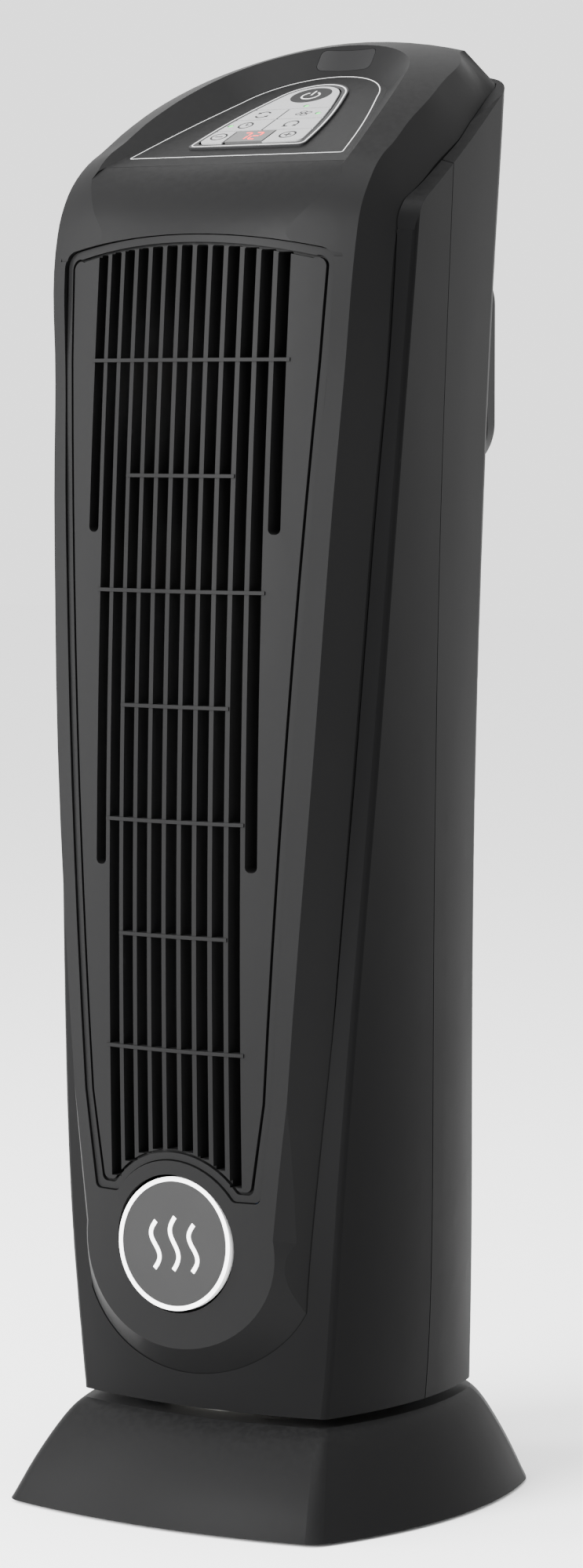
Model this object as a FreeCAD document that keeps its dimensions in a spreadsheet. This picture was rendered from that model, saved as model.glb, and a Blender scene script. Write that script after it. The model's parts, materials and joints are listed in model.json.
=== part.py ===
import FreeCAD, Part
import math
import os
import Sketcher

# Oscillating tower heater.  Millimetres, +Z up, front face towards -Y.
# The origin is the centre of the base's footprint, at the height of the surface it stands on.

Vec = FreeCAD.Vector
X_AXIS = Vec(1, 0, 0)
Z_AXIS = Vec(0, 0, 1)

doc = FreeCAD.newDocument("TowerHeater")
sheet = doc.addObject("Spreadsheet::Sheet", "Dims")

DIMENSIONS = {
    # base
    "base_bottom": 1.2,
    "base_top": 39.5,
    "base_wall": 2.5,
    "base_plate_low": 2.0,
    "base_plate_thick": 3.0,
    "foot_radius": 8.0,
    "foot_height": 2.0,
    "foot_x": 57.0,
    "foot_y": 60.0,
    "boss_radius": 5.0,
    "boss_x": 44.0,
    "boss_y": 56.0,
    "screw_radius": 1.75,
    # turntable
    "pivot_y": 4.0,
    "hub_radius": 24.95,
    "hub_hole_radius": 25.0,
    "hub_bore_radius": 18.0,
    "post_radius": 14.0,
    "washer_inner": 33.0,
    "washer_outer": 50.0,
    "washer_thick": 3.2,
    "retainer_radius": 33.0,
    "gear_module": 1.0,
    "gear_low": 49.0,
    "gear_thick": 6.0,
    "gear_teeth": 60,
    "pinion_teeth": 12,
    # body
    "body_bottom": 43.0,
    "wall": 2.5,
    "parting_y": 5.0,
    "lip_length": 3.0,
    "front_bow_radius": 211.5,
    "top_plane_at_axis": 533.0,
    "top_slope": 0.5,
    "strip_drop": 4.5,
    # front cover
    "cover_wall": 2.4,
    "cover_gap": 0.5,
    "badge_z": 110.0,
    "badge_radius": 26.4,
    "badge_tilt": 2.5,
    # control panel: its local origin and slope
    "panel_y": 6.5,
    "panel_z": 552.5,
    "panel_tilt": 24.5,
    "overlay_thick": 0.8,
    "key_rise": 1.1,
    "key_depth": 3.0,
    "key_gap": 0.4,
    # outlet grille
    "grille_pitch": 7.1,
    "grille_bar": 2.0,
    "grille_depth": 9.0,
    "crossbar_pitch": 44.9,
    "crossbar_top": 456.0,
    # blower
    "blower_z": 449.0,
    "wheel_radius": 46.0,
    "wheel_low_y": 30.0,
    "wheel_width": 28.0,
    "shaft_radius": 3.0,
    "scroll_radius": 53.0,
    "scroll_low_y": 24.0,
    "scroll_depth": 38.0,
    "motor_radius": 27.0,
    "motor_length": 34.0,
    # heater
    "heater_low": 180.0,
    "heater_high": 362.0,
    "heater_half_width": 30.0,
    "heater_y": -47.0,
    "heater_depth": 14.0,
}

for row, (alias, value) in enumerate(DIMENSIONS.items(), start=1):
    sheet.set(f"A{row}", alias)
    sheet.set(f"B{row}", str(value))
    sheet.setAlias(f"B{row}", alias)
doc.recompute()


def dim(alias):
    """The number in the sheet's cell of this name."""
    return float(sheet.get(alias))


nodes = []


def keep(obj, name):
    """Registers an object of the document as a sub-part with this node name."""
    obj.Label = name
    nodes.append(obj)
    return obj


def shape_part(name, shape):
    """A sub-part whose shape is worked out from the sheet with Part's own functions."""
    feature = doc.addObject("Part::Feature", name)
    feature.Shape = shape
    return keep(feature, name)


# --- PartDesign helpers ------------------------------------------------------------------------


def new_body(name):
    return keep(doc.addObject("PartDesign::Body", name), name)


def origin_plane(body, role="XY_Plane"):
    return next(f for f in body.Origin.OriginFeatures if f.Role == role)


def new_sketch(body, name, level=None, role="XY_Plane"):
    """A sketch on one of the body's own planes, raised by the expression level."""
    sketch = body.newObject("Sketcher::SketchObject", name)
    sketch.AttachmentSupport = [(origin_plane(body, role), "")]
    sketch.MapMode = "FlatFace"
    if level is not None:
        sketch.setExpression("AttachmentOffset.Base.z", level)
    return sketch


def add_circle(sketch, name, radius, x="0", y="0"):
    """A circle whose radius and centre are bound to expressions."""
    index = sketch.addGeometry(Part.Circle(Vec(0, 0, 0), Z_AXIS, 5.0), False)
    wanted = [("Radius", (index, 5.0), radius, "_radius")]
    wanted.append(("DistanceX", (-1, 1, index, 3, 0.0), x, "_x"))
    wanted.append(("DistanceY", (-1, 1, index, 3, 0.0), y, "_y"))
    for kind, arguments, expression, suffix in wanted:
        number = sketch.addConstraint(Sketcher.Constraint(kind, *arguments))
        sketch.renameConstraint(number, name + suffix)
        sketch.setExpression("Constraints." + name + suffix, expression)
    return index


def add_rectangle(sketch, name, width, height):
    """A rectangle centred on the sketch's origin, its sides bound to expressions."""
    corners = [Vec(-5, -5, 0), Vec(5, -5, 0), Vec(5, 5, 0), Vec(-5, 5, 0)]
    first = sketch.GeometryCount
    for i in range(4):
        sketch.addGeometry(Part.LineSegment(corners[i], corners[(i + 1) % 4]), False)
    for i in range(4):
        joint = Sketcher.Constraint("Coincident", first + i, 2, first + (i + 1) % 4, 1)
        sketch.addConstraint(joint)
    for i, kind in enumerate(("Horizontal", "Vertical", "Horizontal", "Vertical")):
        sketch.addConstraint(Sketcher.Constraint(kind, first + i))
    sketch.addConstraint(Sketcher.Constraint("Symmetric", first, 1, first + 1, 2, -1, 1))
    sizes = (("DistanceX", first, width, "_width"), ("DistanceY", first + 1, height, "_height"))
    for kind, edge, expression, suffix in sizes:
        number = sketch.addConstraint(Sketcher.Constraint(kind, edge, 1, edge, 2, 10.0))
        sketch.renameConstraint(number, name + suffix)
        sketch.setExpression("Constraints." + name + suffix, expression)


def add_polygon(sketch, points):
    """A closed run of straight lines through the points."""
    for i, point in enumerate(points):
        following = points[(i + 1) % len(points)]
        sketch.addGeometry(Part.LineSegment(Vec(*point, 0), Vec(*following, 0)), False)


def pad(body, sketch, length, name=None):
    feature = body.newObject("PartDesign::Pad", name or sketch.Name + "Pad")
    feature.Profile = sketch
    feature.setExpression("Length", length)
    sketch.Visibility = False
    return feature


def polar_pattern(body, original, count, name):
    pattern = body.newObject("PartDesign::PolarPattern", name)
    pattern.Originals = [original]
    axis = next(f for f in body.Origin.OriginFeatures if f.Role == "Z_Axis")
    pattern.Axis = (axis, [""])
    pattern.Angle = 360
    pattern.Occurrences = count
    body.Tip = pattern
    return pattern


def place(obj, x=None, y=None, z=None):
    """Binds the object's position to expressions."""
    for axis, expression in (("x", x), ("y", y), ("z", z)):
        if expression is not None:
            obj.setExpression("Placement.Base." + axis, expression)


def round_body(name, radius, length, bore=None):
    """A disc, tube or pin along its own Z: one padded sketch."""
    body = new_body(name)
    sketch = new_sketch(body, name + "Outline")
    add_circle(sketch, "outer", radius)
    if bore is not None:
        add_circle(sketch, "bore", bore)
    pad(body, sketch, length)
    return body


def slab_body(name, width, depth, height):
    """A rectangular board or block, centred on its own Z."""
    body = new_body(name)
    sketch = new_sketch(body, name + "Outline")
    add_rectangle(sketch, "outline", width, depth)
    pad(body, sketch, height)
    return body


# --- Plan outlines with bowed sides ------------------------------------------------------------
# A plan is a rounded quadrilateral, the same on both sides of the middle: a front corner, a rear
# corner, and how far the front, the sides and the rear bow outwards between the corners.


def bowed(start, end, bow, cuts=(0.0, 0.0)):
    """An arc from start to end that bows out to the right of its direction, cut back at its ends."""
    along = end - start
    outward = Vec(along.y, -along.x, 0).normalize()
    arc = Part.Arc(start, (start + end) * 0.5 + outward * bow, end)
    radius = along.Length ** 2 / (8 * bow) + bow / 2
    low = arc.FirstParameter + cuts[0] / radius
    high = arc.LastParameter - cuts[1] / radius
    return [arc.value(low), arc.value((low + high) / 2), arc.value(high)]


def plan_arcs(front, rear, bows, radii, z, inset=0.0):
    """The eight arcs of a plan: front, corner, side, corner, rear, corner, side, corner."""
    fx, fy = front[0] - inset, front[1] + inset
    rx, ry = rear[0] - inset, rear[1] - inset
    corners = [Vec(-fx, fy, z), Vec(fx, fy, z), Vec(rx, ry, z), Vec(-rx, ry, z)]
    side_bows = [bows[0], bows[1], bows[2], bows[1]]
    cuts = [radii[0], radii[0], radii[1], radii[1]]
    sides = []
    for i in range(4):
        following = (i + 1) % 4
        ends = (cuts[i], cuts[following])
        sides.append(bowed(corners[i], corners[following], side_bows[i], ends))
    arcs = []
    for i in range(4):
        corner = corners[(i + 1) % 4]
        start = sides[i][2]
        end = sides[(i + 1) % 4][0]
        # 0.586 of the way to the chord is where a quarter circle passes its corner
        middle = corner + ((start + end) * 0.5 - corner) * 0.586
        arcs.append(Part.Arc(*sides[i]))
        arcs.append(Part.Arc(start, middle, end))
    return arcs


def wire_of(curves):
    return Part.Wire([curve.toShape() for curve in curves])


def block(x0, x1, y0, y1, z0, z1):
    return Part.makeBox(x1 - x0, y1 - y0, z1 - z0, Vec(x0, y0, z0))


# --- The housing's outer form ------------------------------------------------------------------
# Height, front corner (x, y), front bow, side bow, rear corner (x, y): the body widens upwards at
# the front and leans back at the rear, so each station has its own plan.

REAR_BOW = 9.0
CORNER_RADII = (1.8, 12.0)
STATIONS = [
    (43.0, 57.6, -52.0, 7.8, 10.4, 58.4, 60.2),
    (100.0, 63.1, -52.4, 9.4, 10.5, 58.6, 60.5),
    (180.0, 68.4, -50.4, 11.5, 8.2, 58.8, 60.6),
    (300.0, 75.4, -42.9, 20.0, 4.5, 59.8, 61.9),
    (380.0, 79.5, -38.4, 22.0, 2.6, 61.2, 64.2),
    (455.0, 82.8, -33.1, 24.0, 1.8, 62.7, 67.2),
    (506.0, 84.7, -29.0, 24.0, 1.6, 64.4, 69.2),
    (590.0, 87.0, -22.5, 24.0, 1.4, 67.0, 73.0),
]


def housing_form(inset=0.0, low=None):
    wires = []
    for z, fx, fy, front_bow, side_bow, rx, ry in STATIONS:
        bows = (front_bow, side_bow, REAR_BOW)
        z = low if low is not None and z == dim("body_bottom") else z
        wires.append(wire_of(plan_arcs((fx, fy), (rx, ry), bows, CORNER_RADII, z, inset)))
    return Part.makeLoft(wires, True, False)


RIDGE_X = 70.0
STRIP_FALL = dim("strip_drop") / 16.0


def strip_level(x):
    """Height of the housing's slanted top over the axis: level in the middle, falling outwards."""
    return dim("top_plane_at_axis") - STRIP_FALL * max(0.0, abs(x) - RIDGE_X)


def slanted_cut(drop=0.0, reach=140.0):
    """Everything above the housing's slanted top strips."""
    start = -dim("top_slope") * reach - drop
    low = strip_level(reach) + start
    high = strip_level(0.0) + start
    outline = [(-reach, low), (-RIDGE_X, high), (RIDGE_X, high), (reach, low)]
    outline += [(reach, 3 * reach + high), (-reach, 3 * reach + high)]
    points = [Vec(x, -reach, z) for x, z in outline]
    face = Part.Face(Part.makePolygon(points + points[:1]))
    return face.extrude(Vec(0, 2 * reach, 2 * reach * dim("top_slope")))


def shoulder_cut(radius, side):
    """What rounds the strip over from the front edge to the slanted top, seen from the side."""
    z0, fx, fy = STATIONS[-2][0:3]
    bow_radius = fx ** 2 / (2 * STATIONS[-2][3])
    lean = 0.08
    slope = dim("top_slope")
    turn = (math.pi / 2 - math.atan(lean)) - math.atan(slope)
    tangent = radius * math.tan(turn / 2)
    wires = []
    for x in (RIDGE_X + 4.0, RIDGE_X + 18.0):
        front_y = fy - (fx ** 2 - x ** 2) / (2 * bow_radius)
        y = (front_y + lean * (strip_level(x) - z0)) / (1 - lean * slope)
        corner = Vec(side * x, y, strip_level(x) + slope * y)
        down = Vec(0, -lean, -1).normalize() * tangent
        back = Vec(0, 1, slope).normalize() * tangent
        chord = (down + back) * 0.5
        bulge = radius * (1 / math.cos(turn / 2) - 1)
        middle = corner + chord * (bulge / chord.Length)
        arc = Part.Arc(corner + down, middle, corner + back)
        far = [corner + back, corner - down * 3 + back, corner - down * 3 - back * 3]
        far += [corner + down - back * 3, corner + down]
        edges = [arc.toShape()]
        edges += [Part.makeLine(a, b) for a, b in zip(far[:-1], far[1:])]
        wires.append(Part.Wire(edges))
    return Part.makeLoft(wires, True, True)


# --- The front cover's form --------------------------------------------------------------------
# The cover's skin is an arc of the front bow radius carried along a path in the middle plane: up
# the front, round the brow, and back along the top.  A rib is the cover's section square to it.

FRONT_PATH = Part.Arc(Vec(0, -70.9, 68.0), Vec(0, -73.8, 297.9), Vec(0, -61.9, 506.4))
BROW_PATH = Part.Arc(Vec(0, -61.9, 506.4), Vec(0, -49.5, 532.6), Vec(0, -28.2, 549.0))
TOP_PATH = Part.Arc(Vec(0, -28.2, 549.0), Vec(0, 26.4, 575.8), Vec(0, 66.0, 586.5))

PATHS = (FRONT_PATH, BROW_PATH, TOP_PATH)
RIBS_PER_PATH = (10, 6, 8)

# Place along the three paths, half width of the skin, half width at the groove, groove depth.
# Whole numbers are the ends of the paths: 0 to 1 the front, 1 to 2 the brow, 2 to 3 the top.
COVER_WIDTHS = [
    (-0.05, 41.0, 51.0, 21.0),
    (0.26, 51.6, 60.4, 22.2),
    (0.53, 60.7, 68.1, 26.0),
    (0.89, 68.8, 76.6, 28.3),
    (1.0, 70.8, 77.6, 28.8),
    (1.5, 70.6, 77.8, 28.8),
    (2.0, 69.2, 76.4, 28.8),
    (2.4, 65.6, 73.0, 29.0),
    (2.75, 58.4, 67.6, 27.5),
    (3.0, 47.5, 63.0, 22.0),
]


def cover_widths(place_along):
    """Half width, groove half width and groove depth at one place along the paths."""
    for before, after in zip(COVER_WIDTHS[:-1], COVER_WIDTHS[1:]):
        if place_along <= after[0]:
            part = (place_along - before[0]) / (after[0] - before[0])
            return [before[i] + (after[i] - before[i]) * part for i in (1, 2, 3)]
    return COVER_WIDTHS[-1][1:]


def path_frame(path, fraction):
    """The point on the path and its outward normal."""
    parameter = path.FirstParameter + fraction * (path.LastParameter - path.FirstParameter)
    point = path.value(parameter)
    ahead = path.value(parameter + 0.001)
    along = (ahead - point).normalize()
    return point, Vec(0, -along.z, along.y)


def rib(number, fraction, inset, skirt):
    """One closed rib: bowed skin, slanted sides down to the groove, straight skirt."""
    point, normal = path_frame(PATHS[number], fraction)
    half, groove, depth = cover_widths(number + fraction)
    half -= inset
    groove -= inset
    side = inset + half ** 2 / (2 * dim("front_bow_radius"))

    def at(x, low):
        return point + X_AXIS * x - normal * low

    skin = Part.Arc(at(-half, side), at(0, inset), at(half, side))
    runs = [at(half, side), at(groove, depth), at(groove, depth + skirt)]
    runs += [at(-groove, depth + skirt), at(-groove, depth), at(-half, side)]
    edges = [skin.toShape()]
    for start, end in zip(runs[:-1], runs[1:]):
        edges.append(Part.LineSegment(start, end).toShape())
    return Part.Wire(edges)


def tongue_outline(y, grow):
    """The tongue's lower end at one depth: a round end and two straight, spreading sides."""
    radius = 58.2 + 0.8 * (y + 51.0) + grow
    centre = 103.8 - 0.33 * (y + 51.0)
    lean = math.radians(6.8)
    x = radius * math.cos(lean)
    z = centre + radius * math.sin(lean)
    top = 620.0
    spread = (top - z) * math.tan(lean)
    start, end = Vec(-x, y, z), Vec(x, y, z)
    edges = [Part.Arc(start, Vec(0, y, centre - radius), end).toShape()]
    corners = [end, Vec(x + spread, y, top), Vec(-x - spread, y, top), start]
    for first, second in zip(corners[:-1], corners[1:]):
        edges.append(Part.LineSegment(first, second).toShape())
    return Part.Wire(edges)


def cover_form(inset=0.0, skirt=4.0):
    """The cover as a solid; a negative inset grows it."""
    places = [(0, -0.05 + 1.05 * i / RIBS_PER_PATH[0]) for i in range(RIBS_PER_PATH[0])]
    places += [(1, i / RIBS_PER_PATH[1]) for i in range(RIBS_PER_PATH[1])]
    places += [(2, i / RIBS_PER_PATH[2]) for i in range(RIBS_PER_PATH[2] + 1)]
    ribs = [rib(number, fraction, inset, skirt) for number, fraction in places]
    body = Part.makeLoft(ribs, True, False)
    tongue_ends = [tongue_outline(-95.0, -inset), tongue_outline(-35.0, -inset)]
    tongue = Part.makeLoft(tongue_ends, True, True)
    top_end = block(-150, 150, -36, 150, 300, 650)
    return body.common(tongue.fuse(top_end))


def front_slab(low, high):
    """The layer of the cover between two depths under its skin, wider than any opening."""
    wires = []
    for fraction in (0.0, 0.33, 0.66, 1.0):
        point, normal = path_frame(FRONT_PATH, fraction)
        half = 66.0
        edges = []
        for depth, side in ((low, 1), (high, -1)):
            sag = depth + half ** 2 / (2 * dim("front_bow_radius"))
            ends = [point + X_AXIS * (-side * half) - normal * sag,
                    point - normal * depth,
                    point + X_AXIS * (side * half) - normal * sag]
            edges.append(Part.Arc(*ends).toShape())
        first, second = edges
        edges.insert(1, Part.makeLine(first.Vertexes[1].Point, second.Vertexes[0].Point))
        edges.append(Part.makeLine(second.Vertexes[1].Point, first.Vertexes[0].Point))
        wires.append(Part.Wire(edges))
    return Part.makeLoft(wires, True, False)


# --- The recess for the control panel ----------------------------------------------------------

PANEL = FreeCAD.Placement(
    Vec(0, dim("panel_y"), dim("panel_z")), FreeCAD.Rotation(X_AXIS, dim("panel_tilt"))
)


def on_panel(shape):
    """Moves a shape from the panel's own frame, whose +Z leaves the panel, into place."""
    return shape.copy().transformGeometry(PANEL.toMatrix())


def horseshoe(level, radius, centre, front_half, front=-90.0):
    """A plan on the panel: a round rear end and two straight sides spreading to the front."""
    lean = math.radians(17.6)
    x = radius * math.cos(lean)
    y = centre + radius * math.sin(lean)
    spread = (y - front) * math.tan(lean)
    start, end = Vec(x, y, level), Vec(-x, y, level)
    arc = Part.Arc(start, Vec(0, centre + radius, level), end)
    corners = [end, Vec(-x - spread, front, level), Vec(x + spread, front, level), start]
    edges = [arc.toShape()]
    for first, second in zip(corners[:-1], corners[1:]):
        edges.append(Part.makeLine(first, second))
    return Part.Wire(edges)


BROW_LOW = Vec(0, -63.0, 496.0)
BROW_MIDDLE = Vec(0, -54.6, 518.4)
BROW_END_Y = -36.7
BROW_RIBS = 7


def brow_space():
    """The space over the rounded brow: it has the skin's bow below and ends as flat as the panel."""
    slope = math.tan(math.radians(dim("panel_tilt")))
    end = Vec(0, BROW_END_Y, dim("panel_z") + slope * (BROW_END_Y - dim("panel_y")))
    path = Part.Arc(BROW_LOW, BROW_MIDDLE, end)
    half, tall = 110.0, 150.0
    wires = []
    for i in range(BROW_RIBS):
        share = i / (BROW_RIBS - 1)
        point, normal = path_frame(path, share)
        sag = half ** 2 / (2 * dim("front_bow_radius")) * max(0.01, 1 - share)
        start = point - X_AXIS * half - normal * sag
        finish = point + X_AXIS * half - normal * sag
        above = [finish, finish + normal * tall, start + normal * tall, start]
        edges = [Part.Arc(start, point, finish).toShape()]
        edges += [Part.makeLine(a, b) for a, b in zip(above[:-1], above[1:])]
        wires.append(Part.Wire(edges))
    return Part.makeLoft(wires, True, False)


def recess_tool(grow=0.0):
    """The space above the panel: its flat floor, its sloping rim and the rounded brow."""
    floor = horseshoe(0.0, 36.5 + grow, 10.4, 50.5)
    rim = horseshoe(30.0, 74.0 + grow, 20.4, 88.0)
    well = Part.makeLoft([floor, rim], True, True)
    well = on_panel(well.fuse(Part.Face(floor).extrude(Vec(0, 0, -90))))
    floor_start = (BROW_END_Y - dim("panel_y")) / math.cos(math.radians(dim("panel_tilt")))
    above = on_panel(block(-110, 110, floor_start, 130, 0, 150))
    return well.common(above.fuse(brow_space()))


# --- Shells of the body ------------------------------------------------------------------------

WALL = dim("wall")
PIVOT_Y = dim("pivot_y")
GAP = dim("cover_gap")
BADGE_Z = dim("badge_z")
REACH = 150.0

SCREW_HEIGHTS = (60.5, 322.0, 500.0)
SCREW_X = (49.0, 50.0, 54.5)
SCREW_SEAT_Y = 56.0
BOSS_RIB_HALF = 1.0
SCREW_RECESS_RADIUS = 4.6
SCREW_BORE = 2.0
SHOULDER_RADIUS = 16.0


def screw_posts(radius, length, start_y):
    """Three pairs of bores or posts along Y, just inside the rear corners."""
    posts = []
    for z, x in zip(SCREW_HEIGHTS, SCREW_X):
        for side in (-1, 1):
            posts.append(Part.makeCylinder(radius, length, Vec(side * x, start_y, z), Vec(0, 1, 0)))
    return Part.Compound(posts)


def screw_bosses(radius, start_y, end_y):
    """A boss round each screw, tied to the side wall by a rib."""
    form = housing_form(0.4)
    bosses = screw_posts(radius, end_y - start_y, start_y).Solids
    for z, x in zip(SCREW_HEIGHTS, SCREW_X):
        rib = block(x, x + 40, start_y, end_y, z - BOSS_RIB_HALF, z + BOSS_RIB_HALF)
        bosses += [rib, rib.mirror(Vec(0, 0, 0), X_AXIS)]
    return [boss.common(form) for boss in bosses]


def housing_shell():
    """Both housing halves in one: walls, floor, slanted top strip and the tongue's opening."""
    outer = housing_form().cut(slanted_cut())
    for side in (-1, 1):
        outer = outer.cut(shoulder_cut(SHOULDER_RADIUS, side))
    inner = housing_form(WALL, dim("body_bottom") + WALL).cut(slanted_cut(WALL))
    shell = outer.cut(inner).cut(cover_form(-GAP, 8.0))
    hub_hole = Part.makeCylinder(dim("hub_bore_radius"), 10.0, Vec(0, PIVOT_Y, 40))
    return shell.cut(hub_hole)


def lip_space(inset, end_y):
    """The inner layer of the walls near the parting line, where the front half's lip goes."""
    layer = housing_form(inset, dim("body_bottom") + inset).cut(slanted_cut(inset))
    return layer.common(block(-REACH, REACH, dim("parting_y") - 1.0, end_y, 0, 650))


def halves(shell):
    """The two halves, with a lip on the front one that fits inside the rear one's edge."""
    parting = dim("parting_y")
    lip_end = parting + dim("lip_length")
    front = shell.common(block(-REACH, REACH, -REACH, parting - 0.25, 0, 650))
    rear = shell.common(block(-REACH, REACH, parting + 0.25, REACH, 0, 650))
    front = front.fuse(shell.common(lip_space(WALL / 2 + 0.1, lip_end)))
    return front, rear.cut(lip_space(WALL / 2 - 0.1, lip_end + 0.25))


def edges_along_y(body, low, high):
    """The straight edges that run along Y with their middles between two heights."""
    return [
        e for e in body.Edges
        if abs(e.tangentAt(e.FirstParameter).y) > 0.9 and low < e.CenterOfMass.z < high
    ]


def rounded_panel(half_width, low, high, radius, y0, y1):
    """A rounded rectangle in the XZ plane, extruded along Y."""
    body = block(-half_width, half_width, y0, y1, low, high)
    return body.makeFillet(radius, edges_along_y(body, 0.0, 650.0))


INTAKE_HALF = 57.0
INTAKE_LOW = 409.0
INTAKE_HIGH = 503.0

front_half, rear_half = halves(housing_shell())
intake_hole = rounded_panel(INTAKE_HALF - 9, INTAKE_LOW + 7, INTAKE_HIGH - 7, 12, 50, 110)
gland_hole = Part.makeCylinder(6.0, 40.0, Vec(0, 45, 62), Vec(0, 1, 0))
rear_half = rear_half.cut(intake_hole).cut(gland_hole)
rear_half = rear_half.fuse(screw_bosses(SCREW_RECESS_RADIUS + 1.6, SCREW_SEAT_Y - 4.0, 95.0))
rear_half = rear_half.cut(screw_posts(SCREW_RECESS_RADIUS, 40.0, SCREW_SEAT_Y))
rear_half = rear_half.cut(screw_posts(SCREW_BORE, 10.0, SCREW_SEAT_Y - 6.0))
front_half = front_half.fuse(screw_bosses(4.2, -12.0, dim("parting_y") - 0.25))
front_half = front_half.cut(screw_posts(SCREW_BORE, 20.0, -8.0))
shape_part("front_housing", front_half)
shape_part("rear_housing", rear_half)

# --- Front cover, grille and badge -------------------------------------------------------------


FOOT_ROUND = 2.6


def grille_outline(grow, y0=-110.0, y1=-45.0):
    """The tapered grille panel: arched top, spreading sides, a bite round the badge below."""
    corners = [(38.5, 129.0), (44.0, 168.0), (51.5, 288.0), (61.8, 456.0), (63.2, 491.5)]
    pts = [Vec(x + grow, y0, z) for x, z in corners]
    pts[0] = pts[0] - Z_AXIS * grow
    crown = Vec(0, y0, 504.5 + grow)
    shoulder = Vec(58.0 + grow, y0, 498.6 + grow)
    mirror = [Vec(-p.x, p.y, p.z) for p in pts]
    left = Vec(-shoulder.x, y0, shoulder.z)
    edges = [Part.makeLine(a, b) for a, b in zip(pts[:-1], pts[1:])]
    bend = (pts[-1] + shoulder) * 0.5 + Vec(1.2, 0, 1.2)
    edges.append(Part.Arc(pts[-1], bend, shoulder).toShape())
    edges.append(Part.Arc(shoulder, crown, left).toShape())
    edges.append(Part.Arc(left, Vec(-bend.x, y0, bend.z), mirror[-1]).toShape())
    edges += [Part.makeLine(mirror[i], mirror[i - 1]) for i in range(len(mirror) - 1, 0, -1)]
    edges.append(Part.makeLine(mirror[0], pts[0]))
    body = Part.Face(Part.Wire(edges)).extrude(Vec(0, y1 - y0, 0))
    body = body.cut(badge_cylinder(33.5 - grow, y0, y1))
    return body.makeFillet(FOOT_ROUND, edges_along_y(body, 0.0, 140.0))


def badge_cylinder(radius, y0, y1):
    return Part.makeCylinder(radius, y1 - y0, Vec(0, y0, BADGE_Z), Vec(0, 1, 0))


cover_wall = dim("cover_wall")
cover_outside = cover_form().cut(recess_tool())
inner_recess = recess_tool(cover_wall).translated(Vec(0, 0, -cover_wall - 0.2))
end_point, end_normal = path_frame(TOP_PATH, 1.0)
end_turn = math.degrees(math.atan2(-end_normal.y, end_normal.z))
end_wall = block(-REACH, REACH, -cover_wall, 60, -120, 60)
end_wall.Placement = FreeCAD.Placement(end_point, FreeCAD.Rotation(X_AXIS, end_turn))
cover_inside = cover_form(cover_wall, 24.0).cut(inner_recess).cut(end_wall)
cover = cover_outside.cut(cover_inside)
cover = cover.cut(grille_outline(0.4))
cover = cover.cut(badge_cylinder(dim("badge_radius") + 1.2, -110, -45))

# --- The control panel -------------------------------------------------------------------------
# The keys are the cells of one shield-shaped area.  Each row: the node, the cell's left, right,
# low and high sides on the panel, and the place of the key's stem.
KEYS = [
    ("power_key", -26.0, 26.0, 8.0, 36.0, 0.0, 21.0),
    ("mode_key", -26.0, -1.5, -3.1, 8.0, -11.0, 2.5),
    ("fan_key", -1.5, 26.0, -3.1, 8.0, 8.5, 2.5),
    ("timer_key", -26.0, -1.5, -14.8, -3.1, -12.0, -9.0),
    ("swing_key", -1.5, 26.0, -14.8, -3.1, 9.5, -9.0),
    ("minus_key", -26.0, -12.6, -30.0, -14.8, -18.5, -21.0),
    ("plus_key", 6.0, 26.0, -30.0, -14.8, 14.0, -21.0),
]
LAMPS = [(4.6, 10.9), (15.3, 2.2), (-19.8, -8.9)]
LAMP_RADIUS = 1.0
DISPLAY = (-12.15, 5.55, -26.3, -15.1)
KEY_GAP = dim("key_gap")
STEM = (3.0, 2.5)
CAP_LOW = dim("overlay_thick") - 0.35


def shield(radius, top, front, half_front, bow, low, high):
    """A shield outline: round at the rear, with bowed sides and a wide front."""
    centre = top - radius
    x = radius * math.cos(0.27)
    y = centre + radius * math.sin(0.27)
    start, end = Vec(x, y, low), Vec(-x, y, low)
    corners = [end, Vec(-half_front, front, low), Vec(half_front, front, low), start]
    edges = [Part.Arc(start, Vec(0, top, low), end).toShape()]
    for first, second, side_bow in zip(corners[:-1], corners[1:], (bow, 0.6, bow)):
        edges.append(Part.Arc(*bowed(first, second, side_bow)).toShape())
    body = Part.Face(Part.Wire(edges)).extrude(Vec(0, 0, high - low))
    front_edges = [
        e for e in body.Edges
        if abs(e.tangentAt(e.FirstParameter).z) > 0.9 and e.CenterOfMass.y < front + 1
    ]
    return body.makeFillet(2.5, front_edges)


def key_area(grow, low, high):
    return shield(14.2 + grow, 32.4 + grow, -27.4 - grow, 24.6 + grow, 1.6, low, high)


def cell(left, right, front, rear, grow, low, high):
    """An upright block over one cell of the panel, larger all round by grow."""
    return block(left - grow, right + grow, front - grow, rear + grow, low, high)


def stem(x, y, grow, low, high):
    return cell(x - STEM[0], x + STEM[0], y - STEM[1], y + STEM[1], grow, low, high)


def panel_holes():
    """Every hole through the panel's floor: the key stems, the lamps and the display."""
    holes = [stem(row[5], row[6], KEY_GAP, -12, 5) for row in KEYS]
    for x, y in LAMPS:
        holes.append(Part.makeCylinder(LAMP_RADIUS + KEY_GAP, 17, Vec(x, y, -12)))
    holes.append(cell(*DISPLAY, -0.8, -12, 5))
    return holes[0].multiFuse(holes[1:])


def key_shape(left, right, front, rear, x, y):
    """A key: its share of the shield as a cap, and a stem down through the panel."""
    cap = key_area(-KEY_GAP, CAP_LOW, dim("key_rise"))
    cap = cap.common(cell(left, right, front, rear, -KEY_GAP, CAP_LOW, dim("key_rise")))
    for lamp_x, lamp_y in LAMPS:
        cap = cap.cut(Part.makeCylinder(LAMP_RADIUS + KEY_GAP, 5, Vec(lamp_x, lamp_y, 0)))
    return cap.fuse(stem(x, y, 0.0, -dim("key_depth"), CAP_LOW + 0.2)).removeSplitter()


RECEIVER_TILT = 53.0


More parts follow.
